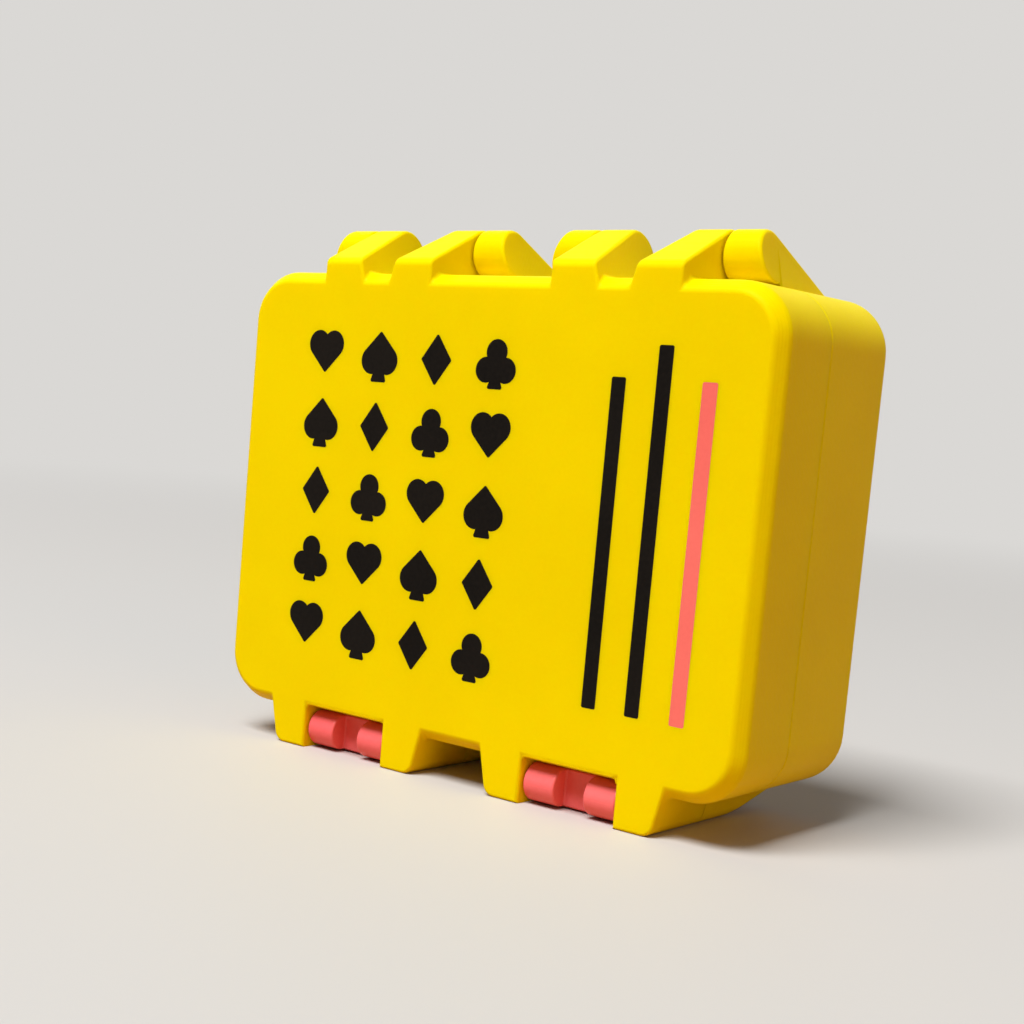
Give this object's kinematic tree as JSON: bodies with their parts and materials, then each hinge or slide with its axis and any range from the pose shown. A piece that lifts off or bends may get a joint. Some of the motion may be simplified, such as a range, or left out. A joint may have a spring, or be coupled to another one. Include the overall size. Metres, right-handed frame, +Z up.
{
  "type": "card game organizer box",
  "caption": "Hinged hard case for a deck of cards, standing on its latch edge, with two snap latches and inlaid suit pips and bars on its face.",
  "frame": {"origin": "middle of the box on the surface its feet stand on, at the box's lowest level", "axes": "+X to the right along the hinge, +Y from the inlaid front face to the back, +Z up to the hinge"},
  "size_m": [0.098, 0.0336, 0.0853],
  "materials": {
    "yellow_plastic": "satin printed plastic, fine layer lines on the sides",
    "coral_plastic": "satin printed plastic, fine layer lines",
    "black_plastic": "matt printed plastic"
  },
  "bodies": {
    "back_shell": {"back_shell": "yellow_plastic"},
    "front_shell": {"front_shell": "yellow_plastic", "black_bar_short": "black_plastic", "black_bar_long": "black_plastic", "pink_bar": "coral_plastic", "heart_inlay_row_1": "black_plastic", "spade_inlay_row_1": "black_plastic", "diamond_inlay_row_1": "black_plastic", "club_inlay_row_1": "black_plastic", "spade_inlay_row_2": "black_plastic", "diamond_inlay_row_2": "black_plastic", "club_inlay_row_2": "black_plastic", "heart_inlay_row_2": "black_plastic", "diamond_inlay_row_3": "black_plastic", "club_inlay_row_3": "black_plastic", "heart_inlay_row_3": "black_plastic", "spade_inlay_row_3": "black_plastic", "club_inlay_row_4": "black_plastic", "heart_inlay_row_4": "black_plastic", "spade_inlay_row_4": "black_plastic", "diamond_inlay_row_4": "black_plastic", "heart_inlay_row_5": "black_plastic", "spade_inlay_row_5": "black_plastic", "diamond_inlay_row_5": "black_plastic", "club_inlay_row_5": "black_plastic"},
    "latch_left": {"latch_left": "coral_plastic"},
    "latch_right": {"latch_right": "coral_plastic"}
  },
  "joints": [
    {"name": "lid_hinge", "type": "hinge", "parent": "back_shell", "child": "front_shell", "pos_m": [0, -0.00375, 0.08155], "axis": [-1, 0, 0], "range_deg": [0, 180]},
    {"name": "latch_left_pivot", "type": "hinge", "parent": "front_shell", "child": "latch_left", "pos_m": [-0.02185, -0.01315, 0.0032], "axis": [-1, 0, 0], "range_deg": [0, 150]},
    {"name": "latch_right_pivot", "type": "hinge", "parent": "front_shell", "child": "latch_right", "pos_m": [0.02185, -0.01315, 0.0032], "axis": [-1, 0, 0], "range_deg": [0, 150]}
  ]
}
